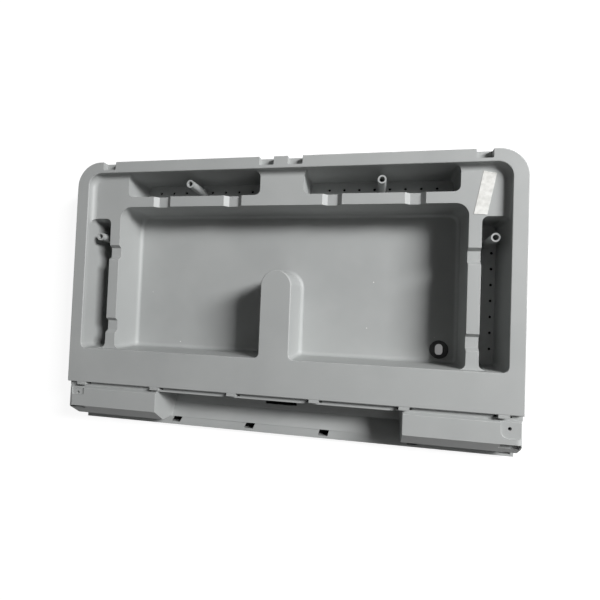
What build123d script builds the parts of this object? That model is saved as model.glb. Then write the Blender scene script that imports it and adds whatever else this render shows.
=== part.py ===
"""A stepped, open moulded housing that lies on its back.

Millimetres. X runs across the panel, Y runs up it from the foot to the top edge, and +Z points out
of the open front. The origin is the middle of the footprint, on the plane that the back rests on.

The moulding is one shell with the same wall everywhere. It is made the way its mould is made: the
outside block, less the cores that shape the front, less the space behind the shell. That space is
the outside block moved in by one wall, kept clear of every core moved out by one wall.
"""
import math
import os

from build123d import *

# ---------------------------------------------------------------- driving sizes: the panel
face_width = 640.0          # across the front rim
panel_height = 400.0        # from the foot flange to the top edge
depth = 70.0                # back plane to front rim
wall = 3.0                  # shell thickness, the same everywhere
draft_angle = 1.15          # taper of every core, in degrees
top_corner_radius = 37.0    # outside corners of the rim
rim_bevel = 1.0             # softened outer edge of the rim
mouth_bevel = 0.8           # softened edge where the rim turns down into the opening

# ---------------------------------------------------------------- rim, shelf and pocket
rim_side = 19.7             # width of the rim at the sides
rim_top = 17.2              # width of the rim along the top
band_height = 50.0          # flat band under the pocket
shelf_drop = 11.0           # front rim down to the shelf
shelf_cove = 8.5            # hollow rounding where the rim wall meets the shelf
trough_top_radius = 19.0    # corners of the opening inside the rim
trough_low_radius = 8.0
side_slot_width = 32.9      # deep slots between shelf land and rim wall
top_slot_width = 34.4
side_land_width = 15.7      # raised lands between slots and pocket
top_land_width = 14.9
pocket_top_radius = 17.0
pocket_low_radius = 8.0
pocket_foot_radius = 6.0    # rounding between pocket walls and floor

# ---------------------------------------------------------------- slots and their holes
top_slot_start = 31.3       # from the middle line to the slot's inner end
top_slot_end_inset = 59.7   # from the rim wall to the slot's outer end
side_slot_length = 198.5
slot_radius = 8.0
slot_wall_step = 0.4        # slot walls stand this far inside the rim wall above them
vent_hole_diameter = 4.2    # across the corners of the eight-sided holes
vent_hole_pitch = 22.4
top_vent_count = 8
side_vent_count = 7
top_vent_inset = 13.0       # hole row to the rim wall
side_vent_inset = 7.0
side_vent_rise = 24.5       # lowest hole above the band edge

# ---------------------------------------------------------------- tongue, cable hole and its bush
tongue_width = 43.0
tongue_length = 122.7       # from the band up into the pocket
tongue_root_radius = 7.0
cable_hole_inset = 25.7     # from the pocket wall
cable_hole_rise = 20.0      # above the band edge
cable_hole_diameter = 20.0
bush_flange_diameter = 26.0
bush_flange_thickness = 1.4
bush_passage_length = 16.0  # the oval passage through the rubber bush
bush_passage_width = 11.0

# ---------------------------------------------------------------- screw posts
post_diameter = 11.6
post_bore = 7.4
top_post_share = 0.5165     # place along the top slot, from its inner end
side_post_drop = 27.8       # below the upper end of the side slot
post_inset = 16.0           # post axis to the rim wall

# ---------------------------------------------------------------- notches across the lands
notch_depth = 5.5
top_notch_width = 27.0
side_notch_width = 22.0
notch_floor_width = 14.0
top_notch_shares = (0.1964, 0.7286)         # places along the top slot, from its inner end
side_notch_shares = (0.1778, 0.7380)        # places along the side slot, from its lower end

# ---------------------------------------------------------------- cut-outs in the top of the rim
cutout_width = 21.0
cutout_length = 12.5
cutout_inner_place = 20.5   # from the middle line
cutout_outer_inset = 53.0   # from the side of the face
cutout_radius = 2.0

# ---------------------------------------------------------------- foot: ledge, blocks, scoop, flange
foot_height = 67.5          # from the foot flange to the band
ledge_width = 8.5
ledge_drop = 8.0
tab_width = 13.5
tab_height = 5.0
tab_drop = 0.6
tab_shares = (0.1828, 0.5516, 0.9266)       # places along half the face width
tab_gap_width = 4.0
tab_gap_depth = 5.0
block_length = 145.0        # from the block's inner end to the side of the face
block_drop = 3.0
block_face_height = 27.0
block_bevel_depth = 28.0
block_side_round = 8.0
flange_reach = 4.0          # how far the flange stands out past the sides
flange_width = 13.0
scoop_radius = 22.0         # curve from the back of the channel up to the flange
clip_slot_width = 14.0
clip_slot_height = 6.0
clip_slot_rise = 9.0        # middle of the slots above the foot edge
clip_slot_shares = (-0.511, -0.141, 0.211, 0.597, 0.967)    # places along half the face width
pull_slot_width = 48.0
pull_slot_height = 7.0
pull_slot_x = -1.5
pull_slot_drop = 14.5       # middle of the slot below the ledge

# ---------------------------------------------------------------- screw points in the blocks
block_screw_inset = 15.5    # from the side of the face
block_screw_drop = 10.0     # below the ledge
block_screw_diameter = 4.4
block_boss_diameter = 10.0
block_boss_length = 14.0
screw_recess_inset = 26.5   # from the side of the face to the recess's inner edge
screw_recess_sizes = {-1: (20.5, 13.0, 3.0), 1: (40.0, 22.0, 9.0)}   # width, height, corner radius
screw_recess_depth = 2.2
bevel_relief_inset = 26.0   # small step cut into the outer end of the bevel
bevel_relief_width = 24.0
bevel_relief_height = 5.0
bevel_relief_depth = 9.0

# ---------------------------------------------------------------- ribs behind the shell
rib_thickness = 2.0
rib_foot = 34.0             # ribs reach from the shell down to this height
rib_columns = 4

# ---------------------------------------------------------------- label tape
tape_width = 16.4
tape_length = 56.0
tape_thickness = 0.3
tape_x = 270.6
tape_drop = 37.8            # tape middle below the rim wall
tape_angle = -11.0
tape_end_slants = (1.6, -0.4)               # rise of the torn ends, low end and top end, left to right

# ---------------------------------------------------------------- places that follow
face = depth
shelf = depth - shelf_drop
floor = wall
half_width = face_width / 2
top_edge = panel_height / 2
foot_edge = -panel_height / 2
band_low = foot_edge + foot_height
band_high = band_low + band_height
trough_side = half_width - rim_side
trough_top = top_edge - rim_top
slot_inner = trough_side - side_slot_width
slot_lower = trough_top - top_slot_width
pocket_side = slot_inner - side_land_width
pocket_top = slot_lower - top_land_width
side_slot_top = band_high + side_slot_length
ledge = depth - ledge_drop
ledge_low = band_low - ledge_width
flange_high = foot_edge + flange_width
flange_front = floor + scoop_radius
block_front = depth - block_drop
block_face_low = ledge_low - block_face_height
top_slot_end = trough_side - top_slot_end_inset
top_slot_length = top_slot_end - top_slot_start
top_notch_places = [top_slot_start + share * top_slot_length for share in top_notch_shares]
side_notch_places = [band_high + share * side_slot_length for share in side_notch_shares]
cutout_places = (cutout_inner_place, half_width - cutout_outer_inset)
tab_places = [share * half_width for share in tab_shares]
block_inner_end = half_width - block_length
top_post_x = top_slot_start + top_post_share * top_slot_length
top_post_y = trough_top - post_inset
side_post_x = trough_side - post_inset
side_post_y = side_slot_top - side_post_drop
block_screw_x = half_width - block_screw_inset
block_screw_y = ledge_low - block_screw_drop
boss_foot = block_front - screw_recess_depth - block_boss_length
tab_middle_y = band_low - (tab_height - rim_bevel) / 2
cable_hole_x = pocket_side - cable_hole_inset
cable_hole_y = band_high + cable_hole_rise
sides = (-1, 1)
tape_half = tape_width / 2
tape_low, tape_high = (slant / 2 for slant in tape_end_slants)
tape_corners = (
    (-tape_half, -tape_length / 2 - tape_low), (tape_half, -tape_length / 2 + tape_low),
    (tape_half, tape_length / 2 + tape_high), (-tape_half, tape_length / 2 - tape_high),
)


def soften(corners, radius, grow):
    """Rounds the corners of a front outline. For the back of the shell they are cut straight instead."""
    if grow:
        chamfer(corners, radius * (2 - math.sqrt(2)))
    else:
        fillet(corners, radius)


def opening_sketch(side, top, top_radius, low_radius, grow):
    """Outline of the trough or the pocket: a rounded opening on the band, with the tongue left in it."""
    tongue_straight = tongue_length - tongue_width / 2
    with BuildSketch() as opening:
        with Locations((0, (band_high + top) / 2)):
            Rectangle(2 * side, top - band_high)
        soften(opening.vertices().group_by(Axis.Y)[-1], top_radius, grow)
        soften(opening.vertices().group_by(Axis.Y)[0], low_radius, grow)
        with Locations((0, band_high + tongue_straight / 2)):
            Rectangle(tongue_width, tongue_straight, mode=Mode.SUBTRACT)
        with Locations((0, band_high + tongue_straight)):
            Circle(tongue_width / 2, mode=Mode.SUBTRACT)
        roots = opening.vertices().filter_by_position(Axis.Y, band_high - 0.01, band_high + 0.01)
        fillet(roots.filter_by_position(Axis.X, -tongue_width, tongue_width), tongue_root_radius)
    return opening.sketch


def box_sketch(x_low, x_high, y_low, y_high, radius=0.0, grow=0.0):
    """A rectangle by its limits, with rounded corners where a radius is given."""
    with BuildSketch() as outline:
        with Locations(((x_low + x_high) / 2, (y_low + y_high) / 2)):
            Rectangle(x_high - x_low, y_high - y_low)
        if radius:
            soften(outline.vertices(), radius, grow)
    return outline.sketch


def core(outline, bottom, foot_radius, grow, top=face):
    """A tapered core under the front. grow moves it out, sharp-edged, for the back of the shell."""
    with BuildPart() as tapered:
        with BuildSketch(Plane.XY.offset(face)):
            add(outline)
            if grow:
                offset(amount=grow, kind=Kind.INTERSECTION)
        extrude(amount=face - bottom + grow, dir=(0, 0, -1), taper=draft_angle)
        if foot_radius and not grow:
            fillet(tapered.faces().sort_by(Axis.Z)[0].edges(), foot_radius)
        if top < face:
            split(bisect_by=Plane.XY.offset(top), keep=Keep.BOTTOM)
    return tapered.part


def notch_core(centre, angle, width, length, grow):
    """A shallow groove with sloping ends across a land. Its length lies along Y, turned by angle."""
    half_top = width / 2 + grow
    half_floor = notch_floor_width / 2 + grow
    spread = (half_top - half_floor) / notch_depth
    with BuildPart() as notch:
        with BuildSketch(Plane.XZ):
            with BuildLine():
                Polyline(
                    (-half_top - spread, shelf + 1.0), (-half_floor, shelf - notch_depth - grow),
                    (half_floor, shelf - notch_depth - grow), (half_top + spread, shelf + 1.0), close=True,
                )
            make_face()
        extrude(amount=length / 2, both=True)
    return notch.part.moved(Location(centre, (0, 0, angle)))


def channel_core(grow):
    """The channel between the blocks: a flat back that curves forward into the flange."""
    with BuildPart() as channel:
        with BuildSketch(Plane.YZ) as profile:
            with BuildLine():
                Polyline(
                    (flange_high, flange_front), (flange_high, face + 1.0), (ledge_low, face + 1.0),
                    (ledge_low, floor), (flange_high + scoop_radius, floor),
                )
                RadiusArc((flange_high + scoop_radius, floor), (flange_high, flange_front), scoop_radius)
            make_face()
            if grow:
                offset(amount=grow, kind=Kind.INTERSECTION)
        extrude(amount=block_inner_end + grow, both=True)
    return channel.part


def front_cores(grow):
    """Every core that shapes the front, moved out by grow."""
    trough_outline = opening_sketch(trough_side, trough_top, trough_top_radius, trough_low_radius, grow)
    pocket_outline = opening_sketch(pocket_side, pocket_top, pocket_top_radius, pocket_low_radius, grow)
    slot_ceiling = shelf + shelf_cove + (face - rim_bevel - shelf - shelf_cove) / 2
    land_middle = (pocket_side + slot_inner) / 2
    cores = [
        core(trough_outline, shelf, shelf_cove, grow),
        core(pocket_outline, floor, pocket_foot_radius, grow),
        channel_core(grow),
    ]
    for side in sides:
        across = sorted((side * slot_inner, side * (trough_side - slot_wall_step)))
        side_slot = box_sketch(*across, band_high + slot_wall_step, side_slot_top, slot_radius, grow)
        cores.append(core(side_slot, floor, 0, grow, slot_ceiling))
        along = sorted((side * top_slot_start, side * top_slot_end))
        top_slot = box_sketch(*along, slot_lower, trough_top - slot_wall_step, slot_radius, grow)
        cores.append(core(top_slot, floor, 0, grow, slot_ceiling))
        land_end = sorted((side * (land_middle - side_land_width), side * (land_middle + side_land_width)))
        cove_relief = box_sketch(*land_end, band_high, band_high + 2 * shelf_cove)
        cores.append(core(cove_relief, shelf, 0, grow, slot_ceiling))
        for place in top_notch_places:
            centre = (side * place, (slot_lower + pocket_top) / 2, 0)
            cores.append(notch_core(centre, 0, top_notch_width, top_land_width + wall, grow))
        for place in side_notch_places:
            centre = (side * land_middle, place, 0)
            cores.append(notch_core(centre, 90, side_notch_width, side_land_width + wall, grow))
        for place in cutout_places:
            cores.append(cutout_core(side * place, grow))
        for place in tab_places:
            cores.append(tab_gap_core(side * place, grow))
        cores.append(screw_recess_core(side, grow))
        cores.append(bevel_relief_core(side, grow))
    return cores


def cutout_core(place, grow):
    """A cut-out in the upper part of the rim, down to the level of the shelf."""
    with BuildPart() as cutout:
        with BuildSketch(Plane.XY.offset(shelf - grow)):
            with Locations((place, top_edge)):
                RectangleRounded(cutout_width + 2 * grow, 2 * (cutout_length + grow), cutout_radius + grow)
        extrude(amount=depth - shelf + 2 * grow + 1.0)
    return cutout.part


def tab_gap_core(place, grow):
    """The two gaps beside a tab. Behind the shell they join into one."""
    with BuildPart() as gap:
        with BuildSketch(Plane.XY.offset(ledge - tab_gap_depth - grow)):
            with Locations((place, band_low - tab_height / 2)):
                Rectangle(tab_width + 2 * tab_gap_width + 2 * grow, tab_height + 2 * grow)
                if not grow:
                    Rectangle(tab_width, tab_height, mode=Mode.SUBTRACT)
        extrude(amount=tab_gap_depth + grow + 1.0)
    return gap.part


def screw_recess_core(side, grow):
    """The shallow recess round a screw hole, open to the ledge above it."""
    width, height, radius = screw_recess_sizes[side]
    full_height = height + radius
    middle_x = half_width - screw_recess_inset + width / 2
    middle = (side * middle_x, ledge_low - height + full_height / 2)
    with BuildPart() as recess:
        with BuildSketch(Plane.XY.offset(block_front - screw_recess_depth - grow)):
            with Locations(middle):
                RectangleRounded(width + 2 * grow, full_height + 2 * grow, radius + grow)
        extrude(amount=screw_recess_depth + grow + 1.0)
    return recess.part


def bevel_relief_core(side, grow):
    """The small step under the face of a block, near its outer end."""
    middle_x = side * (half_width - bevel_relief_inset + bevel_relief_width / 2)
    with BuildPart() as relief:
        with BuildSketch(Plane.XY.offset(block_front - bevel_relief_depth - grow)):
            with Locations((middle_x, block_face_low - bevel_relief_height / 2)):
                Rectangle(bevel_relief_width + 2 * grow, bevel_relief_height + 2 * grow)
        extrude(amount=bevel_relief_depth + grow + 1.0)
    return relief.part


def vent_places():
    """Middles of the small holes in the slot floors: two rows at the top, two at the sides."""
    top_start = top_post_x - vent_hole_pitch * (top_vent_count - 1) / 2
    side_start = band_high + side_vent_rise
    places = []
    for side in sides:
        for hole in range(top_vent_count):
            places.append((side * (top_start + vent_hole_pitch * hole), trough_top - top_vent_inset))
        for hole in range(side_vent_count):
            places.append((side * (trough_side - side_vent_inset), side_start + vent_hole_pitch * hole))
    return places


def end_block(side, inset):
    """One block of the foot: a raised front, a bevel under it and a rounded outer end."""
    with BuildPart() as block:
        with BuildSketch(Plane.YZ.offset(side * (block_inner_end + inset))):
            with BuildLine():
                Polyline(
                    (ledge_low, 0), (ledge_low, block_front), (block_face_low, block_front),
                    (flange_high, block_front - block_bevel_depth), (flange_high, 0), close=True,
                )
            make_face()
            if inset:
                offset(amount=-inset, kind=Kind.INTERSECTION)
                with Locations((ledge_low, (ledge - inset) / 2)):
                    Rectangle(4 * inset, ledge - inset)
                with Locations(((ledge_low + flange_high) / 2, inset)):
                    Rectangle(ledge_low - flange_high - 2 * inset, 2 * inset)
        extrude(amount=side * (half_width - block_inner_end - 2 * inset))
        outer_end = block.faces().sort_by(Axis.X)[-1 if side > 0 else 0]
        fillet(outer_end.edges().sort_by(Axis.Z)[-1], block_side_round - inset)
    return block.part


def outside(inset):
    """The outside block, moved in by inset on its free sides: panel, ledge, end blocks and flange."""
    with BuildPart() as block:
        with BuildSketch():
            with Locations((0, (top_edge + band_low) / 2)):
                Rectangle(face_width - 2 * inset, top_edge - band_low - 2 * inset)
        extrude(amount=face - inset)
        fillet(block.edges().filter_by(Axis.Z).group_by(Axis.Y)[-1], top_corner_radius - inset)
        if not inset:
            chamfer(block.faces().sort_by(Axis.Z)[-1].edges(), rim_bevel)
        with BuildSketch():
            with Locations((0, (ledge_low + band_low + inset) / 2)):
                Rectangle(face_width - 2 * inset, ledge_width + inset)
        extrude(amount=ledge - inset)
        with BuildSketch():
            with Locations((0, (foot_edge + ledge_low) / 2)):
                Rectangle(face_width + 2 * flange_reach - 2 * inset, ledge_low - foot_edge - 2 * inset)
        extrude(amount=flange_front - inset)
        for side in sides:
            add(end_block(side, inset))
    return block.part


def rib_grid():
    """Thin upright plates in both directions, deep enough to stiffen the shell from behind."""
    rib_height = face - rib_foot
    with BuildPart() as ribs:
        with Locations((0, 0, rib_foot + rib_height / 2)):
            with GridLocations(face_width / rib_columns, 1, rib_columns, 1):
                Box(rib_thickness, panel_height, rib_height)
            with Locations((0, band_low + band_height / 2, 0)):
                Box(face_width, rib_thickness, rib_height)
    return ribs.part


with BuildPart() as back_space:
    add(outside(wall))
    for moved_out in front_cores(wall):
        add(moved_out, mode=Mode.SUBTRACT)
    add(rib_grid(), mode=Mode.SUBTRACT)

post_places = [(side * top_post_x, top_post_y) for side in sides]
post_places += [(side * side_post_x, side_post_y) for side in sides]
boss_feet = [(side * block_screw_x, block_screw_y, boss_foot) for side in sides]
tab_feet = [(side * place, tab_middle_y, ledge - tab_gap_depth) for side in sides for place in tab_places]
clip_slot_y = foot_edge + clip_slot_rise
clip_slot_feet = [(share * half_width, clip_slot_y, flange_front - wall) for share in clip_slot_shares]
upright = (Align.CENTER, Align.CENTER, Align.MIN)

with BuildPart() as housing:
    add(outside(0))
    for front_core in front_cores(0):
        add(front_core, mode=Mode.SUBTRACT)
    add(back_space.part, mode=Mode.SUBTRACT)
    # softened edge of the opening
    openings = housing.edges().filter_by_position(Axis.X, -trough_side - 0.1, trough_side + 0.1)
    mouth = openings.filter_by_position(Axis.Y, band_high - 0.1, trough_top + 0.1)
    chamfer(mouth.filter_by_position(Axis.Z, face - 0.01, face + 0.01), mouth_bevel)
    # hollow posts in the slots, screw bosses behind the blocks, tabs across the ledge
    with Locations(*post_places):
        Cylinder(post_diameter / 2, shelf, align=upright)
        Cylinder(post_bore / 2, shelf, align=upright, mode=Mode.SUBTRACT)
    with Locations(*boss_feet):
        Cylinder(block_boss_diameter / 2, block_boss_length, align=upright)
        Cylinder(block_screw_diameter / 2, block_boss_length, align=upright, mode=Mode.SUBTRACT)
    with Locations(*tab_feet):
        Box(tab_width, tab_height + rim_bevel, tab_gap_depth + ledge_drop - tab_drop, align=upright)
    # holes through the shell
    with BuildSketch():
        with Locations(*vent_places()):
            RegularPolygon(vent_hole_diameter / 2, 8)
    extrude(amount=floor, mode=Mode.SUBTRACT)
    with Locations((cable_hole_x, cable_hole_y)):
        Cylinder(cable_hole_diameter / 2, floor, align=upright, mode=Mode.SUBTRACT)
    with Locations((pull_slot_x, ledge_low - pull_slot_drop)):
        Box(pull_slot_width, pull_slot_height, floor, align=upright, mode=Mode.SUBTRACT)
    with Locations(*clip_slot_feet):
        Box(clip_slot_width, clip_slot_height, wall, align=upright, mode=Mode.SUBTRACT)

with BuildPart() as cable_bush:
    with Locations((cable_hole_x, cable_hole_y)):
        Cylinder(cable_hole_diameter / 2, floor, align=upright)
        with Locations((0, 0, floor)):
            Cylinder(bush_flange_diameter / 2, bush_flange_thickness, align=upright)
    chamfer(cable_bush.edges().group_by(Axis.Z)[-1], bush_flange_thickness / 2)
    with BuildSketch():
        with Locations((cable_hole_x, cable_hole_y)):
            SlotOverall(bush_passage_length, bush_passage_width, rotation=90)
    extrude(amount=floor + bush_flange_thickness, mode=Mode.SUBTRACT)

with BuildPart() as label_tape:
    with BuildSketch(Plane.XY.offset(shelf)):
        with Locations(Location((tape_x, trough_top - tape_drop, 0), (0, 0, tape_angle))):
            Polygon(*tape_corners)
    extrude(amount=tape_thickness)

os.makedirs("parts", exist_ok=True)
housing.part.label = "housing"
export_step(housing.part, "parts/housing.step")
cable_bush.part.label = "cable_bush"
export_step(cable_bush.part, "parts/cable_bush.step")
label_tape.part.label = "label_tape"
export_step(label_tape.part, "parts/label_tape.step")
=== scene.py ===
# %% [markdown]
# # A moulded plastic housing
#
# The object is one thin shell of grey plastic, shaped in steps: a rim, a trough with a shelf, a deep
# pocket with a tongue, four slots with hollow posts, and a foot with two blocks. A rubber bush sits in
# the cable hole and a strip of masking tape lies on the shelf. The solids come finished from the CAD
# frame. This lesson gives them what the solids leave out: softened edges, skins, dust, paper and light.

# %% Load the frame
import math

import bmesh
import bpy
from mathutils import Matrix, Vector, noise
from mathutils.geometry import intersect_point_line


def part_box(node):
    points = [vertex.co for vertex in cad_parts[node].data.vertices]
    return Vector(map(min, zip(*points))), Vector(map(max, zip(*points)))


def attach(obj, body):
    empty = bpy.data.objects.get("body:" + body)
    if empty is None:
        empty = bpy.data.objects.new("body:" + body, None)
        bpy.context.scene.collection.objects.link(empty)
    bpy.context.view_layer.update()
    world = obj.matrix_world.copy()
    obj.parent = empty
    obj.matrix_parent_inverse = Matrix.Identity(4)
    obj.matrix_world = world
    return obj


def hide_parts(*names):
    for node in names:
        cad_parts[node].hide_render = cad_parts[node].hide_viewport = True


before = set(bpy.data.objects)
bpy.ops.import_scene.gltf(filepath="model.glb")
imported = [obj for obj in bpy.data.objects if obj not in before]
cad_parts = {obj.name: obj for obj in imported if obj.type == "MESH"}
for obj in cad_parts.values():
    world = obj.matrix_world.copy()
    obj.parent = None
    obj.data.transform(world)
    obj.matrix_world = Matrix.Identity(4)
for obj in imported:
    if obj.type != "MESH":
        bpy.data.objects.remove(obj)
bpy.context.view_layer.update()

MM = 0.001

# %% [markdown]
# ## The camera
#
# The housing is looked at from in front, as it would be to check a delivery: almost straight down on
# the open side, a little to the right of the middle, and turned by a degree or two. The lens is wide
# because the view is close, and that is why the deep walls spread apart. The turn is written as three
# small angles, one for each axis, because they can then be corrected one at a time.

# %% Camera
FOCAL_LENGTH = 24.777
CAMERA_PLACE = (143.552, -16.514, 621.322)
CAMERA_TURN = (-0.0296, -0.1945, -0.0325)


def make_camera(place, turn, lens):
    """A camera at a place in mm that looks along -Z, turned about X, then Y, then Z."""
    data = bpy.data.cameras.new("viewpoint")
    data.lens = lens
    data.sensor_width = 36.0
    data.clip_start = 0.01
    camera = bpy.data.objects.new("viewpoint", data)
    bpy.context.scene.collection.objects.link(camera)
    about_x, about_y, about_z = (Matrix.Rotation(angle, 4, axis) for angle, axis in zip(turn, "XYZ"))
    world_to_camera = about_z @ about_y @ about_x
    camera.matrix_world = Matrix.Translation(Vector(place) * MM) @ world_to_camera.transposed()
    return camera


camera = make_camera(CAMERA_PLACE, CAMERA_TURN, FOCAL_LENGTH)
bpy.context.scene.camera = camera
print("camera stands", round(camera.location.z, 3), "m above the floor")

# %% [markdown]
# ## Light
#
# Three plain lamps hang about 1.8 m above the floor. A broad one stands to the right and above the top
# edge, and gives nearly all the light, with soft shadows. It could stand closer and be weaker, but then
# the right side would be much brighter than the left. A narrow one in the same direction makes the
# shadow of the tongue and of the pocket wall a little firmer. A weak one stands beyond the foot, and
# lights the walls that face it.

# %% Lamps
LAMP_HEIGHT = 1.82
LAMPS = {
    # name: (x, y), (size along X, size along Y) in m, power in W
    "broad_lamp": ((2.24, 0.98), (1.20, 0.60), 126.0),
    "narrow_lamp": ((1.50, 0.60), (0.14, 0.42), 3.0),
    "foot_lamp": ((1.75, -2.10), (0.84, 1.12), 6.0),
}
LIT_POINT = Vector((0.0, 0.0, 0.03))


def make_lamp(name, place, size, power):
    """A rectangular lamp that faces the middle of the housing, with its length kept along Y."""
    data = bpy.data.lights.new(name, "AREA")
    data.shape = "RECTANGLE"
    data.size, data.size_y = size
    data.energy = power
    lamp = bpy.data.objects.new(name, data)
    spot = Vector((*place, LAMP_HEIGHT))
    facing = (spot - LIT_POINT).normalized()
    across = Vector((0.0, 1.0, 0.0)).cross(facing).normalized()
    turn = Matrix((across, facing.cross(across), facing)).transposed()
    lamp.matrix_world = Matrix.Translation(spot) @ turn.to_4x4()
    bpy.context.scene.collection.objects.link(lamp)
    return lamp


lamps = [make_lamp(name, *facts) for name, facts in LAMPS.items()]
print("lamps:", [lamp.name for lamp in lamps])

# %% [markdown]
# ## World
#
# The world is what lies beyond the floor. It gives no light of its own, so deep slots stay dark, but
# it shows white to the camera and in reflections. A Light Path node tells those rays from the rest. The
# small helper that adds a node with its settings is written here, where it is first needed.

# %% World


def node(tree, kind, place, **settings):
    """Adds a node and sets its plain properties."""
    made = tree.nodes.new(kind)
    made.location = place
    for name, value in settings.items():
        setattr(made, name, value)
    return made


def make_world(light):
    """An even world of a given light that shows white to the camera and in reflections."""
    world = bpy.data.worlds.new("studio")
    world.use_nodes = True
    tree = world.node_tree
    tree.nodes.clear()
    path = node(tree, "ShaderNodeLightPath", (-700, 0))
    seen = node(tree, "ShaderNodeMath", (-480, 0), operation="MAXIMUM")
    either = node(tree, "ShaderNodeMath", (-300, 0), operation="MAXIMUM")
    strength = node(tree, "ShaderNodeMapRange", (-120, 0))
    strength.inputs["To Min"].default_value = light
    strength.inputs["To Max"].default_value = 1.0
    background = node(tree, "ShaderNodeBackground", (80, 0))
    background.inputs["Color"].default_value = (1.0, 1.0, 1.0, 1.0)
    out = node(tree, "ShaderNodeOutputWorld", (260, 0))
    tree.links.new(path.outputs["Is Camera Ray"], seen.inputs[0])
    tree.links.new(path.outputs["Is Transmission Ray"], seen.inputs[1])
    tree.links.new(seen.outputs[0], either.inputs[0])
    tree.links.new(path.outputs["Is Glossy Ray"], either.inputs[1])
    tree.links.new(either.outputs[0], strength.inputs["Value"])
    tree.links.new(strength.outputs["Result"], background.inputs["Strength"])
    tree.links.new(background.outputs["Background"], out.inputs["Surface"])
    bpy.context.scene.world = world
    return world


WORLD_LIGHT = 0.0
world = make_world(WORLD_LIGHT)
bpy.context.scene.view_settings.view_transform = "Standard"
print("world light", WORLD_LIGHT)

# %% [markdown]
# ## Floor
#
# The floor is plain and pale. To the camera it glows, so it reads as white paper, and its own shading
# on top of the glow keeps a faint shadow of the housing. Under the housing it is painted dark by
# position, a painted shade: there it is only seen through small holes, and the paint stands in for the
# shade behind them. One spot under the cable hole keeps a share of the white. The dark area is a plain
# rectangle, so a low view shows a bit of it beside the rounded corners of the top edge.

# %% Floor areas
FLOOR_REACH = 6.0
FLOOR_GLOW = 0.92
FLOOR_SHADE = 0.22
FLOOR_PAINT = (0.75, 0.75, 0.75, 1.0)
# painted shade: the floor colour under the housing, seen only through its holes
UNDERSIDE_PAINTED_SHADE = (0.02, 0.02, 0.02, 1.0)
# the painted shade covers this area and is lighter in the spot under the cable hole
COVERED = ((0.0, 0.0), (318 * MM, 199.5 * MM))          # middle and half size, under the housing
SEEN_THROUGH = ((226 * MM, -62 * MM), (6 * MM, 8 * MM))     # under the cable hole
OPENING_SHARE = 0.22         # how much of the white floor shows there
print("dark under the housing:", [round(2 * half / MM) for half in COVERED[1]], "mm")

# %% Floor paint


def inside_box(tree, apart, middle, half, row):
    """1 where the X and Y of a split position lie within half a size of a middle, else 0."""
    hits = []
    for column, axis in enumerate("XY"):
        hit = node(tree, "ShaderNodeMath", (-740 + 180 * column, row), operation="COMPARE")
        hit.inputs[1].default_value = middle[column]
        hit.inputs[2].default_value = half[column]
        tree.links.new(apart.outputs[axis], hit.inputs[0])
        hits.append(hit)
    both = node(tree, "ShaderNodeMath", (-380, row), operation="MULTIPLY")
    tree.links.new(hits[0].outputs[0], both.inputs[0])
    tree.links.new(hits[1].outputs[0], both.inputs[1])
    return both.outputs[0]


def make_floor_material(covered, opening, glow, shade):
    """White to the camera, except where the housing covers it: there it is painted shade. An area is its
    middle and half size.
    """
    material = bpy.data.materials.new("pale_floor")
    material.use_nodes = True
    tree = material.node_tree
    tree.nodes.clear()
    spot = node(tree, "ShaderNodeNewGeometry", (-1100, -200))
    apart = node(tree, "ShaderNodeSeparateXYZ", (-920, -200))
    tree.links.new(spot.outputs["Position"], apart.inputs["Vector"])
    under = inside_box(tree, apart, *covered, -200)
    through = inside_box(tree, apart, *opening, -400)
    # painted shade: 1 under the housing, less in the spot under the cable hole
    painted_shade = node(tree, "ShaderNodeMath", (-200, -300), operation="MULTIPLY_ADD")
    tree.links.new(through, painted_shade.inputs[0])
    painted_shade.inputs[1].default_value = -OPENING_SHARE
    tree.links.new(under, painted_shade.inputs[2])
    path = node(tree, "ShaderNodeLightPath", (-420, 200))
    seen = node(tree, "ShaderNodeMath", (-260, 200), operation="MAXIMUM")
    tree.links.new(path.outputs["Is Camera Ray"], seen.inputs[0])
    tree.links.new(path.outputs["Is Transmission Ray"], seen.inputs[1])
    shown = node(tree, "ShaderNodeMath", (-20, 0), operation="SUBTRACT", use_clamp=True)
    tree.links.new(seen.outputs[0], shown.inputs[0])
    tree.links.new(painted_shade.outputs[0], shown.inputs[1])
    # the floor colour is the pale paint, and painted shade under the housing
    tone = node(tree, "ShaderNodeMix", (-20, 300), data_type="RGBA")
    tone.inputs[6].default_value = FLOOR_PAINT
    tone.inputs[7].default_value = UNDERSIDE_PAINTED_SHADE
    tree.links.new(painted_shade.outputs[0], tone.inputs["Factor"])
    paint = node(tree, "ShaderNodeBsdfDiffuse", (160, 200))
    tree.links.new(tone.outputs[2], paint.inputs["Color"])
    faint = node(tree, "ShaderNodeBsdfDiffuse", (160, 0))
    faint.inputs["Color"].default_value = (shade, shade, shade, 1.0)
    light = node(tree, "ShaderNodeEmission", (160, -160))
    light.inputs["Strength"].default_value = glow
    paper = node(tree, "ShaderNodeAddShader", (340, -80))
    choice = node(tree, "ShaderNodeMixShader", (520, 60))
    out = node(tree, "ShaderNodeOutputMaterial", (700, 60))
    tree.links.new(faint.outputs["BSDF"], paper.inputs[0])
    tree.links.new(light.outputs["Emission"], paper.inputs[1])
    tree.links.new(shown.outputs[0], choice.inputs["Fac"])
    tree.links.new(paint.outputs["BSDF"], choice.inputs[1])
    tree.links.new(paper.outputs["Shader"], choice.inputs[2])
    tree.links.new(choice.outputs["Shader"], out.inputs["Surface"])
    return material


floor_paint = make_floor_material(COVERED, SEEN_THROUGH, FLOOR_GLOW, FLOOR_SHADE)
print("floor paint has", len(floor_paint.node_tree.nodes), "nodes")

# %% Floor


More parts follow.
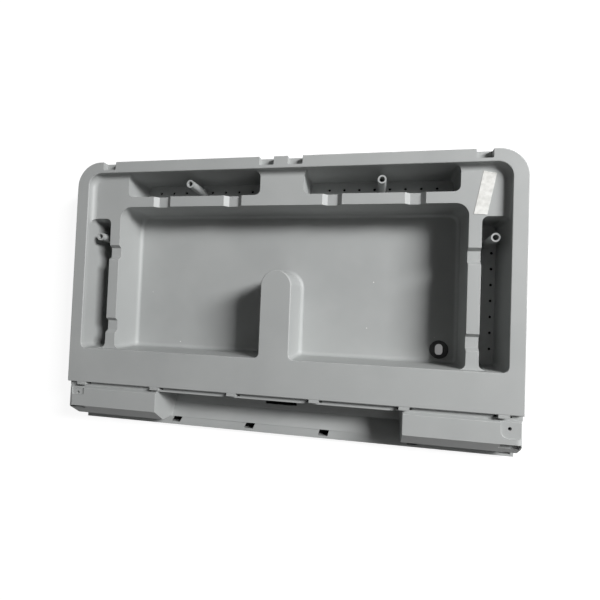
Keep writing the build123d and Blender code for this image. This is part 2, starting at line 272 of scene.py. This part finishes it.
def make_floor(reach, material):
    """A large flat square on the plane that the back rests on."""
    mesh = bpy.data.meshes.new("floor")
    corners = [(-reach, -reach, 0.0), (reach, -reach, 0.0), (reach, reach, 0.0), (-reach, reach, 0.0)]
    mesh.from_pydata(corners, [], [(0, 1, 2, 3)])
    mesh.materials.append(material)
    floor = bpy.data.objects.new("floor", mesh)
    bpy.context.scene.collection.objects.link(floor)
    return floor


floor = make_floor(FLOOR_REACH, floor_paint)
print("floor", 2 * FLOOR_REACH, "m square")

# %% [markdown]
# ## Effects that several finishes share
#
# A mould for a part like this is eroded or blasted, and its fine grain comes out on the plastic. The
# same kind of grain, at another scale, suits rubber and paper. Dust settles on whatever looks upward.
# Each of these is a node group with its own inputs, built once. A group only puts out masks and
# heights, so that every finish stays free to use them in its own colour and strength.

# %% Helpers for groups


def new_group(name, inputs, outputs):
    """An empty shader group with float inputs and float outputs."""
    group = bpy.data.node_groups.new(name, "ShaderNodeTree")
    for title, value in inputs:
        socket = group.interface.new_socket(title, in_out="INPUT", socket_type="NodeSocketFloat")
        socket.default_value = value
    for title in outputs:
        group.interface.new_socket(title, in_out="OUTPUT", socket_type="NodeSocketFloat")
    start = node(group, "NodeGroupInput", (-900, 0))
    end = node(group, "NodeGroupOutput", (700, 0))
    return group, start, end


def scaled(tree, source, socket, factor_socket, place):
    """Multiplies one float by another."""
    made = node(tree, "ShaderNodeMath", place, operation="MULTIPLY")
    tree.links.new(source.outputs[socket], made.inputs[0])
    tree.links.new(factor_socket, made.inputs[1])
    return made


print("each group keeps its inputs and outputs in its interface")

# %% Tool grain


def make_grain_group():
    """Grain of the tool, with the slow waves that a large flat moulding has."""
    group, start, end = new_group(
        "tool_grain",
        [("Grain Scale", 1400.0), ("Grain", 1.0), ("Wave Scale", 9.0), ("Waves", 1.0)],
        ["Height", "Tone"],
    )
    place = node(group, "ShaderNodeTexCoord", (-900, 300))
    grain = node(group, "ShaderNodeTexNoise", (-600, 300), noise_dimensions="3D")
    grain.inputs["Detail"].default_value = 2.0
    grain.inputs["Roughness"].default_value = 0.6
    waves = node(group, "ShaderNodeTexNoise", (-600, 0), noise_dimensions="3D")
    waves.inputs["Detail"].default_value = 3.0
    waves.inputs["Roughness"].default_value = 0.45
    group.links.new(place.outputs["Object"], grain.inputs["Vector"])
    group.links.new(place.outputs["Object"], waves.inputs["Vector"])
    group.links.new(start.outputs["Grain Scale"], grain.inputs["Scale"])
    group.links.new(start.outputs["Wave Scale"], waves.inputs["Scale"])
    fine = scaled(group, grain, "Fac", start.outputs["Grain"], (-300, 300))
    slow = scaled(group, waves, "Fac", start.outputs["Waves"], (-300, 0))
    height = node(group, "ShaderNodeMath", (0, 200), operation="ADD")
    group.links.new(fine.outputs[0], height.inputs[0])
    group.links.new(slow.outputs[0], height.inputs[1])
    group.links.new(height.outputs[0], end.inputs["Height"])
    group.links.new(waves.outputs["Fac"], end.inputs["Tone"])
    return group


tool_grain = make_grain_group()
print("group", tool_grain.name, "has", len(tool_grain.nodes), "nodes")

# %% Settled dust


def make_dust_group():
    """Dust on faces that look up, in a patchy film and in scattered specks."""
    group, start, end = new_group(
        "settled_dust",
        [("Film", 1.0), ("Speck Scale", 60.0), ("Speck Size", 0.05)],
        ["Film", "Specks"],
    )
    place = node(group, "ShaderNodeTexCoord", (-900, 300))
    facing = node(group, "ShaderNodeNewGeometry", (-900, -300))
    apart = node(group, "ShaderNodeSeparateXYZ", (-700, -300))
    upward = node(group, "ShaderNodeMapRange", (-500, -300))
    upward.inputs["From Min"].default_value = 0.55
    upward.inputs["From Max"].default_value = 0.95
    patches = node(group, "ShaderNodeTexNoise", (-600, 0), noise_dimensions="3D")
    patches.inputs["Scale"].default_value = 22.0
    patches.inputs["Detail"].default_value = 5.0
    bare = node(group, "ShaderNodeMapRange", (-400, 0))
    bare.inputs["From Min"].default_value = 0.42
    bare.inputs["From Max"].default_value = 0.72
    cells = node(group, "ShaderNodeTexVoronoi", (-600, 500), feature="F1")
    speck = node(group, "ShaderNodeMath", (-380, 500), operation="LESS_THAN")
    group.links.new(facing.outputs["Normal"], apart.inputs["Vector"])
    group.links.new(apart.outputs["Z"], upward.inputs["Value"])
    group.links.new(place.outputs["Object"], patches.inputs["Vector"])
    group.links.new(patches.outputs["Fac"], bare.inputs["Value"])
    group.links.new(place.outputs["Object"], cells.inputs["Vector"])
    group.links.new(start.outputs["Speck Scale"], cells.inputs["Scale"])
    group.links.new(cells.outputs["Distance"], speck.inputs[0])
    group.links.new(start.outputs["Speck Size"], speck.inputs[1])
    film = scaled(group, bare, "Result", start.outputs["Film"], (-200, 0))
    settled = scaled(group, film, 0, upward.outputs["Result"], (0, 0))
    dots = scaled(group, speck, 0, upward.outputs["Result"], (0, 400))
    group.links.new(settled.outputs[0], end.inputs["Film"])
    group.links.new(dots.outputs[0], end.inputs["Specks"])
    return group


settled_dust = make_dust_group()
print("group", settled_dust.name, "has", len(settled_dust.nodes), "nodes")

# %% [markdown]
# ## The plastic
#
# The housing is moulded in one mid grey, with no paint. Its colour is nearly even: slow clouds of a
# slightly lighter or darker grey, paler rubbed edges, a thin film of dust, and a few pale specks. The
# skin is matt with a weak sheen. The rubbed edges come from a mark on the mesh, set when the edges
# are softened, so they follow every outward edge of the form and nothing else.

# %% Colours of the plastic
EDGE_MARK = "softened_edge"
PLASTIC_GREY = (0.352, 0.362, 0.360, 1.0)
PLASTIC_PALE = (0.385, 0.396, 0.392, 1.0)
PLASTIC_RUBBED = (0.47, 0.48, 0.475, 1.0)
DUST_COLOUR = (0.52, 0.525, 0.52, 1.0)
SPECK_COLOUR = (0.72, 0.72, 0.70, 1.0)
print("plain grey", PLASTIC_GREY[:3], "rubbed grey", PLASTIC_RUBBED[:3])

# %% Helpers for finishes


def use_group(tree, group, place, **values):
    """Places a shared group in a material with its own values."""
    made = node(tree, "ShaderNodeGroup", place)
    made.node_tree = group
    for name, value in values.items():
        made.inputs[name.replace("_", " ")].default_value = value
    return made


def mixed(tree, factor, first, second, place):
    """Mixes two colours by a factor socket. A colour is a socket or a plain value."""
    made = node(tree, "ShaderNodeMix", place, data_type="RGBA")
    tree.links.new(factor, made.inputs["Factor"])
    for socket, colour in ((made.inputs[6], first), (made.inputs[7], second)):
        if isinstance(colour, tuple):
            socket.default_value = colour
        else:
            tree.links.new(colour, socket)
    return made.outputs[2]


def spread(tree, source, low, high, to_low, to_high, place):
    """Stretches a value from one range to another."""
    made = node(tree, "ShaderNodeMapRange", place)
    made.inputs["From Min"].default_value = low
    made.inputs["From Max"].default_value = high
    made.inputs["To Min"].default_value = to_low
    made.inputs["To Max"].default_value = to_high
    tree.links.new(source, made.inputs["Value"])
    return made.outputs["Result"]


def bare_material(name):
    """A material with only a Principled shader and its output."""
    material = bpy.data.materials.new(name)
    material.use_nodes = True
    tree = material.node_tree
    return material, tree, tree.nodes["Principled BSDF"]


def add_bump(tree, shader, height, strength, depth):
    """Feeds a height socket through a Bump node into the normal of the shader."""
    bump = node(tree, "ShaderNodeBump", (-300, -300))
    bump.inputs["Strength"].default_value = strength
    bump.inputs["Distance"].default_value = depth
    tree.links.new(height, bump.inputs["Height"])
    tree.links.new(bump.outputs["Normal"], shader.inputs["Normal"])


print("a finish uses", tool_grain.name, "and", settled_dust.name)

# %% Plastic


def make_plastic():
    """Grey moulded plastic with a fine tool grain."""
    material, tree, shader = bare_material("moulded_plastic")
    grain = use_group(
        tree, tool_grain, (-1000, -200), Grain_Scale=1500.0, Grain=1.0, Wave_Scale=7.0, Waves=6.0,
    )
    dust = use_group(tree, settled_dust, (-1000, 200), Film=0.12, Speck_Scale=26.0, Speck_Size=0.022)
    cloud = spread(tree, grain.outputs["Tone"], 0.35, 0.65, 0.0, 1.0, (-800, 300))
    colour = mixed(tree, cloud, PLASTIC_GREY, PLASTIC_PALE, (-600, 300))
    edge = node(tree, "ShaderNodeAttribute", (-1000, 500), attribute_name=EDGE_MARK)
    rubbed = spread(tree, edge.outputs["Fac"], 0.0, 1.0, 0.0, 0.45, (-800, 500))
    colour = mixed(tree, rubbed, colour, PLASTIC_RUBBED, (-420, 300))
    colour = mixed(tree, dust.outputs["Film"], colour, DUST_COLOUR, (-240, 300))
    colour = mixed(tree, dust.outputs["Specks"], colour, SPECK_COLOUR, (-60, 300))
    tree.links.new(colour, shader.inputs["Base Color"])
    roughness = spread(tree, grain.outputs["Tone"], 0.3, 0.7, 0.44, 0.56, (-400, 0))
    tree.links.new(roughness, shader.inputs["Roughness"])
    add_bump(tree, shader, grain.outputs["Height"], 0.25, 0.06 * MM)
    shader.inputs["Specular IOR Level"].default_value = 0.42
    return material


moulded_plastic = make_plastic()
print("plastic has", len(moulded_plastic.node_tree.nodes), "nodes")

# %% [markdown]
# ## The foot
#
# The foot of the real moulding differs a little from the solid: its flange lies lower, the channel
# rises to it in a straight slope and not in a curve, the blocks start and end a little lower, and the
# step under the right block is larger. The foot could be modelled again, but it is the same form with
# its lines in other places. Nearly all its lines run along X, so each is a row of vertices that share
# one place in the section. Here each row goes to its place on the real part. No move is much longer
# than 10 mm and the faces stay flat, so the edges can be softened afterwards.

# %% Lines of the foot, in mm
FLANGE_START = -140.9        # the flange and its ends lie beyond this y
FLANGE_FRONT = 25.0
FLANGE_WALL = 3.0
FLANGE_DROP = 10.0
SCOOP_MIDDLE = (-165.0, 25.0)
SCOOP_RADIUS = 22.0
CHANNEL_END = 178.1
SLOPE_START = (-166.0, 3.0)
SLOPE_END = (-187.0, 15.0)
SLOPE_LEAN = 0.27            # how far the underside of the slope shifts for each mm of depth
ROWS = [
    # y in the solid, y on the real foot
    (-131.0, -132.4),
    (-132.5, -133.9),        # lower edge of the band
    (-137.5, -138.3),        # lower edge of the tabs
    (-141.0, -143.5),        # top wall of the blocks
    (-146.0, -146.0),        # the screw recesses stay
    (-163.0, -163.0),
    (-168.0, -170.4),        # lower edge of the blocks, where their bevel starts
    (-187.0, -187.0),        # low edge of the bevel
]
TOP_WALL = (-145.0, -138.5)  # y range of the blocks' top wall, whose foot stays on the ledge
BLOCK_FOOT = 62.0
BLOCK_FRONT = 67.0
BLOCK_MIDDLE = -163.0
BEVEL_START = -168.0
BEVEL_LOW = 39.0
BEVEL_RISE = 2.5
ROWS_LEVEL = 56.0            # rows from the band to the middle of the blocks move only above this z
BEVEL_LEVEL = 38.0           # and rows beyond it only above this one
STEP_BOX = (290.0, -164.9, 54.9, 59.65)      # inner end, upper side, lowest and highest level
STEP_DROP = 3.0
STEP_STRETCH = 1.6
CLIP_SLOT_HALF = 7.2
CLIP_SLOT_ROWS = (-194.1, -187.9)
CLIP_SLOT_MOVES = {
    # x of the slot in the solid: how far it moves along X and Y
    -163.5: (-4.6, -1.8),
    -45.1: (-3.6, -1.7),
    67.5: (-2.0, -2.2),
    191.0: (1.4, -3.0),
    309.4: (3.2, -3.0),
}
TOUCH = 0.1                  # a point this close to a surface lies on it
HAIR = 0.01                  # rounding of the solid's own places
print("foot:", len(ROWS), "rows and", len(CLIP_SLOT_MOVES), "clip slots to place")

# %% [markdown]
# ## Placing the rows
#
# A lattice or a proportional edit would also move the foot, but it bends faces that should stay flat.
# A rule for each stretch of the section keeps them flat: one for the scoop, which is unrolled onto the
# slope, one for the flange with its slots, one for the step, and one for the rows in the table.

# %% Rules of the foot


def slope_place(y, z):
    """Where a point of the curved scoop lies on the straight slope, or None if it isn't on the scoop."""
    back, down = SCOOP_MIDDLE[0] - y, SCOOP_MIDDLE[1] - z
    depth = math.hypot(back, down) - SCOOP_RADIUS
    if min(back, down, depth, FLANGE_WALL - depth) < -TOUCH:
        return None
    turn = math.atan2(back, down)
    full_turn = math.acos(depth / (SCOOP_RADIUS + depth))
    share = min(1.0, turn / full_turn)
    along = [start + (end - start) * share for start, end in zip(SLOPE_START, SLOPE_END)]
    return along[0] - SLOPE_LEAN * depth, along[1] - depth


def flange_place(x, y, z):
    """Where a point of the flange lies: lower, and moved sideways with its clip slot if it is on one."""
    for middle, (move_x, move_y) in CLIP_SLOT_MOVES.items():
        if abs(x - middle) < CLIP_SLOT_HALF and CLIP_SLOT_ROWS[0] < y < CLIP_SLOT_ROWS[1]:
            return x + move_x, y + move_y, z - FLANGE_DROP
    return x, y, z - FLANGE_DROP


def row_place(y, z):
    """Where a row of the band, a tab or a block belongs: its y from the table, its z along the bevel."""
    (far, far_real), (near, near_real) = next(
        pair for pair in zip(ROWS[1:], ROWS) if y >= pair[0][0] - HAIR
    )
    moved = far_real + (y - far) / (near - far) * (near_real - far_real)
    if TOP_WALL[0] < y < TOP_WALL[1]:
        rise = min(1.0, max(0.0, (z - BLOCK_FOOT) / (BLOCK_FRONT - BLOCK_FOOT)))
        moved = y + (moved - y) * rise
    if y < BEVEL_START - HAIR:
        z += BEVEL_RISE * (BLOCK_FRONT - z) / (BLOCK_FRONT - BEVEL_LOW)
    return moved, z


def foot_place(x, y, z):
    """Where a vertex of the housing belongs, in mm. Only the foot's vertices change place."""
    if abs(x) < CHANNEL_END and slope_place(y, z):
        return (x, *slope_place(y, z))
    if y < FLANGE_START and FLANGE_FRONT - FLANGE_WALL - TOUCH < z < FLANGE_FRONT + TOUCH:
        return flange_place(x, y, z)
    inner_end, upper_side, lowest, highest = STEP_BOX
    if x > inner_end and y < upper_side and lowest < z < highest:
        return x, upper_side + STEP_STRETCH * (y - upper_side), z - STEP_DROP
    level = ROWS_LEVEL if y > BLOCK_MIDDLE else BEVEL_LEVEL
    if z > level and ROWS[-1][0] - HAIR < y < ROWS[0][0]:
        return (x, *row_place(y, z))
    return x, y, z


def correct_foot(builder):
    """Moves the rows of the foot in a mesh and says how many vertices moved."""
    moved = 0
    for vert in builder.verts:
        place = Vector(foot_place(*(vert.co / MM))) * MM
        if (place - vert.co).length > HAIR * MM:
            vert.co = place
            moved += 1
    return moved


print("a point on the scoop goes to", foot_place(0.0, SCOOP_MIDDLE[0], SLOPE_START[1]))

# %% [markdown]
# ## Softened edges
#
# No edge of a moulding is razor sharp: the tool has a small radius everywhere, and it is what catches
# the light along the lands, the notches and the blocks. The solids leave it out. Here a copy of each
# solid is cleaned to its flat faces and every hard edge gets a small round. A bevel modifier could do
# it too, but it cuts through narrow faces: here an edge is left as it is where a face beside it has no
# room for the round. Only outward rounds carry the edge mark, since nothing rubs an inner corner.

# %% Room for a round
HARD_ANGLE = math.radians(24.0)      # an edge that turns more than this gets a round
CORNER_ANGLE = math.radians(38.0)    # an edge that still turns more than this is shaded as a corner
FLAT_ANGLE = math.radians(0.5)       # faces that turn less than this are one flat face
MERGE_DISTANCE = 0.002 * MM
ROOM_NEEDED = 2.2                    # in radii, beside an edge and along it
ROUND_STEPS = 2
SHELL_ROUND = 0.45 * MM


def gap_between(first, second):
    """The shortest distance between two straight edges that lie in one face."""
    gaps = []
    for edge, other in ((first, second), (second, first)):
        start, end = (vert.co for vert in other.verts)
        for vert in edge.verts:
            nearest, share = intersect_point_line(vert.co, start, end)
            nearest = start if share < 0.0 else end if share > 1.0 else nearest
            gaps.append((vert.co - nearest).length)
    return min(gaps)


def room_beside(edge):
    """How wide the faces beside an edge are where it runs, up to the nearest edge across them."""
    room = min(
        face.calc_area() / max(side.calc_length() for side in face.edges) for face in edge.link_faces
    )
    for face in edge.link_faces:
        for other in face.edges:
            if not set(edge.verts) & set(other.verts):
                room = min(room, gap_between(edge, other))
    return room


print("a round of", round(SHELL_ROUND / MM, 2), "mm needs", round(ROOM_NEEDED * SHELL_ROUND / MM, 2), "mm")

# %% Rounding


def soften_edges(builder, radius):
    """Rounds the hard edges of a mesh where the faces beside them are wide enough."""
    chosen = []
    kept_sharp = 0
    for edge in builder.edges:
        if len(edge.link_faces) != 2 or edge.calc_face_angle(0.0) < HARD_ANGLE:
            continue
        if min(room_beside(edge), edge.calc_length()) > ROOM_NEEDED * radius:
            chosen.append(edge)
        else:
            kept_sharp += 1
    result = bmesh.ops.bevel(
        builder, geom=chosen, offset=radius, offset_type="OFFSET", segments=ROUND_STEPS, profile=0.5,
        affect="EDGES", clamp_overlap=False, miter_outer="SHARP", miter_inner="SHARP",
    )
    return result["faces"], len(chosen), kept_sharp


def mark_rounds(builder, rounds, mark):
    """Marks the rounds whose edges mostly turn outward."""
    for face in rounds:
        outer = sum(edge.is_convex for edge in face.edges)
        face[mark] = 1.0 if 2 * outer > len(face.edges) else 0.0
    for face in builder.faces:
        face.smooth = True
    for edge in builder.edges:
        edge.smooth = edge.calc_face_angle(0.0) < CORNER_ANGLE


print("edges that turn more than", round(math.degrees(HARD_ANGLE)), "degrees get a round")

# %% Housing shell


def softened_copy(node_name, piece_name, radius, material, correct=None):
    """A copy of a CAD node with softened edges. Correct may first move the copy's vertices."""
    builder = bmesh.new()
    builder.from_mesh(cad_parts[node_name].data)
    bmesh.ops.remove_doubles(builder, verts=builder.verts, dist=MERGE_DISTANCE)
    if correct:
        print(node_name, "rows moved:", correct(builder), "vertices")
    bmesh.ops.dissolve_limit(builder, angle_limit=FLAT_ANGLE, verts=builder.verts, edges=builder.edges)
    mark = builder.faces.layers.float.new(EDGE_MARK)
    rounds, softened, sharp = soften_edges(builder, radius)
    mark_rounds(builder, rounds, mark)
    mesh = bpy.data.meshes.new(piece_name)
    builder.to_mesh(mesh)
    builder.free()
    if "custom_normal" in mesh.attributes:
        mesh.attributes.remove(mesh.attributes["custom_normal"])
    mesh.materials.clear()
    mesh.materials.append(material)
    piece = bpy.data.objects.new(piece_name, mesh)
    bpy.context.scene.collection.objects.link(piece)
    weighted = piece.modifiers.new("even_normals", "WEIGHTED_NORMAL")
    weighted.keep_sharp = True
    weighted.weight = 100
    print(piece_name, "softened", softened, "edges, kept", sharp, "sharp,", len(mesh.polygons), "faces")
    return piece


housing_shell = softened_copy("housing", "housing_shell", SHELL_ROUND, moulded_plastic, correct_foot)
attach(housing_shell, "root")
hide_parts("housing")

# %% [markdown]
# ## The rubber bush
#
# The bush keeps a cable off the edge of the hole. It is black rubber, duller than the plastic, and it
# holds more dust because rubber is slightly tacky. It gets the same softening as the shell.

# %% Rubber bush
RUBBER_BLACK = (0.012, 0.012, 0.013, 1.0)
RUBBER_GREY = (0.03, 0.03, 0.03, 1.0)
BUSH_ROUND = 0.25 * MM


def make_rubber():
    """Dull black rubber with a dusty skin."""
    material, tree, shader = bare_material("bush_rubber")
    grain = use_group(
        tree, tool_grain, (-1000, -200), Grain_Scale=2200.0, Grain=1.0, Wave_Scale=60.0, Waves=1.0,
    )
    dust = use_group(tree, settled_dust, (-1000, 200), Film=0.10, Speck_Scale=300.0, Speck_Size=0.05)
    colour = mixed(tree, grain.outputs["Tone"], RUBBER_BLACK, RUBBER_GREY, (-600, 300))
    colour = mixed(tree, dust.outputs["Film"], colour, DUST_COLOUR, (-400, 300))
    tree.links.new(colour, shader.inputs["Base Color"])
    add_bump(tree, shader, grain.outputs["Height"], 0.4, 0.05 * MM)
    shader.inputs["Roughness"].default_value = 0.72
    shader.inputs["Specular IOR Level"].default_value = 0.3
    return material


bush_rubber = make_rubber()
bush = softened_copy("cable_bush", "bush", BUSH_ROUND, bush_rubber)
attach(bush, "root")
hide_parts("cable_bush")

# %% [markdown]
# ## The strip of masking tape
#
# Masking tape is creped paper: fine wrinkles run across its width, so it can stretch round curves. It
# is torn by hand, which leaves a ragged edge with short fibres, and its ends lift a little. The strip
# is built as a fine grid in its own flat frame, wrinkled and lifted point by point with noise, and
# then turned and laid on the shelf. Its underside lies flat where it sticks. Bump in the material
# alone would be less work, but the torn ends and the lifted corners need real form. Each use of the
# noise reads it at a depth of its own, so that no two kinds of wrinkle repeat each other.

# %% Sizes of the tape
TAPE_WIDTH = 16.4 * MM
TAPE_LENGTH = 56.0 * MM
TAPE_TURN = math.radians(-11.0)
TAPE_THICKNESS = 0.16 * MM
TAPE_CELL = 0.4 * MM
TAPE_END_SLANTS = (1.6 * MM, -0.4 * MM)
tape_low, tape_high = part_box("label_tape")
tape_middle = (tape_low + tape_high) / 2
TEAR_PITCHES = (4.0 * MM, 0.7 * MM)      # of the coarse and the fine raggedness of an end
TEAR_DEPTHS = (0.55, 0.3)                # the same two, in mm
SIDE_RAGS = 140.0                        # along one side of the strip
SIDE_DEPTH = 0.05 * MM
CREPE_SIZE = (5.0 * MM, 0.55 * MM)       # across and along the strip
CREPE_DEPTH = 0.035 * MM
SLACK_SIZE = (9.0 * MM, 14.0 * MM)
SLACK_DEPTH = 0.06 * MM
END_LIFT = 0.35 * MM
END_REACH = 3.0 * MM
SIDE_LIFT = 0.08 * MM
SIDE_REACH = 1.2 * MM
print("tape", round(TAPE_WIDTH / MM, 1), "by", round(TAPE_LENGTH / MM, 1), "mm")

# %% Form of the tape


def torn(across, end):
    """How far a torn end runs past or short of its line, in metres. Each end has its own number."""
    coarse = noise.noise(Vector((across / TEAR_PITCHES[0], 7.3 * end, 0.0)))
    fine = noise.noise(Vector((across / TEAR_PITCHES[1], 3.1 * end, 5.0)))
    return (TEAR_DEPTHS[0] * coarse + TEAR_DEPTHS[1] * fine) * MM


def tape_point(u, v):
    """One point of the strip's upper face: u runs 0 to 1 across it and v 0 to 1 along it."""
    ragged_side = SIDE_DEPTH * noise.noise(Vector((v * SIDE_RAGS, round(u), 2.0)))
    across = (u - 0.5) * TAPE_WIDTH + ragged_side
    low_end = -TAPE_LENGTH / 2 + TAPE_END_SLANTS[0] * (u - 0.5) + torn(across, 1.0)
    high_end = TAPE_LENGTH / 2 + TAPE_END_SLANTS[1] * (u - 0.5) + torn(across, 2.0)
    along = low_end + (high_end - low_end) * v
    crepe = noise.noise(Vector((across / CREPE_SIZE[0], along / CREPE_SIZE[1], 0.0)))
    slack = noise.noise(Vector((across / SLACK_SIZE[0], along / SLACK_SIZE[1], 4.0)))
    from_end = min(v, 1.0 - v) * TAPE_LENGTH
    from_side = min(u, 1.0 - u) * TAPE_WIDTH
    lift = END_LIFT * max(0.0, 1.0 - from_end / END_REACH) ** 2 * (0.6 + 0.8 * u)
    lift += SIDE_LIFT * max(0.0, 1.0 - from_side / SIDE_REACH) ** 2
    height = TAPE_THICKNESS + CREPE_DEPTH * crepe + SLACK_DEPTH * max(slack, 0.0) + lift
    return Vector((across, along, height))


def make_tape(material):
    """A wrinkled strip with an upper and a lower face, laid on the shelf."""
    columns = round(TAPE_WIDTH / TAPE_CELL)
    rows = round(TAPE_LENGTH / TAPE_CELL)
    builder = bmesh.new()
    tops, feet = [], []
    for row in range(rows + 1):
        line = [tape_point(column / columns, row / rows) for column in range(columns + 1)]
        tops.append([builder.verts.new(point) for point in line])
        feet.append([builder.verts.new((p.x, p.y, max(0.0, p.z - TAPE_THICKNESS))) for p in line])
    for row in range(rows):
        for column in range(columns):
            corners = [(row, column), (row, column + 1), (row + 1, column + 1), (row + 1, column)]
            builder.faces.new([tops[along][across] for along, across in corners])
            turned = [corners[0], *corners[:0:-1]]
            builder.faces.new([feet[along][across] for along, across in turned])
    for row in range(rows):
        for column, flip in ((0, False), (columns, True)):
            corners = [tops[row][column], tops[row + 1][column], feet[row + 1][column], feet[row][column]]
            builder.faces.new(corners[::-1] if flip else corners)
    for column in range(columns):
        for row, flip in ((0, True), (rows, False)):
            corners = [tops[row][column], tops[row][column + 1], feet[row][column + 1], feet[row][column]]
            builder.faces.new(corners[::-1] if not flip else corners)
    bmesh.ops.recalc_face_normals(builder, faces=builder.faces)
    for face in builder.faces:
        face.smooth = True
    mesh = bpy.data.meshes.new("tape_strip")
    builder.to_mesh(mesh)
    builder.free()
    place = Matrix.Translation((tape_middle.x, tape_middle.y, tape_low.z))
    mesh.transform(place @ Matrix.Rotation(TAPE_TURN, 4, "Z"))
    mesh.materials.append(material)
    strip = bpy.data.objects.new("tape_strip", mesh)
    bpy.context.scene.collection.objects.link(strip)
    return strip


print("one end row starts at", tuple(round(size / MM, 2) for size in tape_point(0.0, 0.0)), "mm")

# %% Masking tape
TAPE_PAPER = (0.80, 0.80, 0.775, 1.0)
TAPE_SHADE = (0.66, 0.66, 0.63, 1.0)


def make_paper():
    """Creped masking paper with soft clouds and a little dust."""
    material, tree, shader = bare_material("masking_paper")
    grain = use_group(
        tree, tool_grain, (-1000, -200), Grain_Scale=2600.0, Grain=1.0, Wave_Scale=180.0, Waves=1.5,
    )
    dust = use_group(tree, settled_dust, (-1000, 200), Film=0.12, Speck_Scale=400.0, Speck_Size=0.03)
    cloud = spread(tree, grain.outputs["Tone"], 0.35, 0.65, 0.0, 1.0, (-800, 300))
    colour = mixed(tree, cloud, TAPE_PAPER, TAPE_SHADE, (-600, 300))
    colour = mixed(tree, dust.outputs["Film"], colour, DUST_COLOUR, (-400, 300))
    tree.links.new(colour, shader.inputs["Base Color"])
    add_bump(tree, shader, grain.outputs["Height"], 0.5, 0.05 * MM)
    shader.inputs["Roughness"].default_value = 0.78
    return material


masking_paper = make_paper()
tape_strip = make_tape(masking_paper)
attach(tape_strip, "root")
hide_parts("label_tape")
print("tape has", len(tape_strip.data.polygons), "faces")
